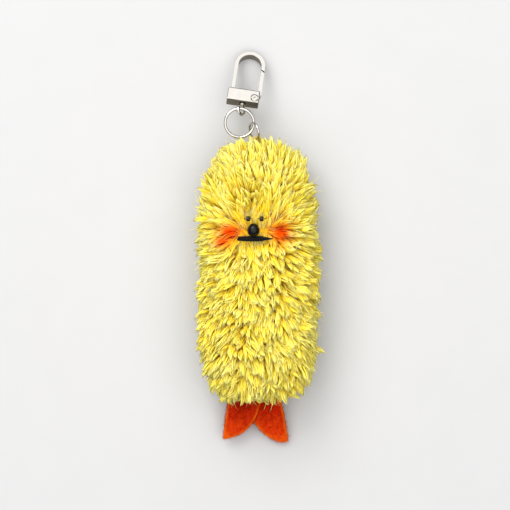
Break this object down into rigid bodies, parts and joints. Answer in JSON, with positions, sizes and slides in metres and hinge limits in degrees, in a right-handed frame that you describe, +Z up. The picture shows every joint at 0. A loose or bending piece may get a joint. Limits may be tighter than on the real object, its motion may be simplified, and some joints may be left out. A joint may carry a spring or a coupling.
{
  "type": "plush keychain",
  "caption": "Stuffed tube-shaped animal in long yellow faux fur with bead face, blush cheeks and forked felt tail, hung from a swivel snap hook by jump rings.",
  "frame": {"origin": "centre of the plush's flat back, which rests on the surface", "axes": "+Z up through the face, +Y from the tail towards the hook, +X towards the animal's left cheek"},
  "size_m": [0.0466, 0.1573, 0.036],
  "materials": {
    "fur": "matte",
    "fibrefill": "matte",
    "sewing_thread": "matte",
    "woven_tape": "matte",
    "black_bead": "gloss",
    "black_yarn": "matte",
    "felt": "matte",
    "nickel": "polished",
    "spring_steel": "satin"
  },
  "bodies": {
    "plush": {"fur_front": "fur", "fur_back": "fur", "stuffing": "fibrefill", "seam_thread_left": "sewing_thread", "seam_thread_right": "sewing_thread", "hanging_tab": "woven_tape", "eye_left": "black_bead", "eye_right": "black_bead", "eye_thread": "black_yarn", "nose_bead": "black_bead", "nose_washer": "black_bead", "mouth_yarn": "black_yarn"},
    "tail": {"tail_leaf_left": "felt", "tail_leaf_right": "felt"},
    "link": {"link_ring": "nickel"},
    "ring": {"jump_ring": "nickel"},
    "swivel": {"swivel_eye": "nickel"},
    "clasp": {"clasp_body": "nickel", "gate_pin": "nickel", "gate_spring": "spring_steel"},
    "gate": {"gate_lever": "nickel"}
  },
  "joints": [
    {"name": "link_swing", "type": "hinge", "parent": "plush", "child": "link", "pos_m": [-0.00089, 0.05205, 0.01565], "axis": [0.4699, 0.0762, 0.8795], "range_deg": [-40, 18]},
    {"name": "ring_swing", "type": "hinge", "parent": "link", "child": "ring", "pos_m": [-0.00275, 0.05578, 0.01417], "axis": [-0.5358, -0.8443, 0], "range_deg": [-75, 25]},
    {"name": "eye_swing", "type": "hinge", "parent": "ring", "child": "swivel", "pos_m": [-0.00695, 0.06457, 0.01417], "axis": [-0.9936, 0.1132, 0], "range_deg": [-85, 20]},
    {"name": "clasp_swivel", "type": "hinge", "parent": "swivel", "child": "clasp", "pos_m": [-0.0065, 0.06655, 0.01287], "axis": [0.13, 0.87, -0.4756], "continuous": true},
    {"name": "gate_pivot", "type": "hinge", "parent": "clasp", "child": "gate", "pos_m": [-0.00178, 0.06771, 0.01187], "axis": [0.0703, 0.4704, 0.8796], "range_deg": [0, 32], "stiffness_Nm_per_rad": 0.002, "springref_deg": -20.05},
    {"name": "tail_flex", "type": "hinge", "parent": "plush", "child": "tail", "pos_m": [0, -0.045, 0.0111], "axis": [1, 0, 0], "range_deg": [-25, 10], "stiffness_Nm_per_rad": 0.0008}
  ]
}
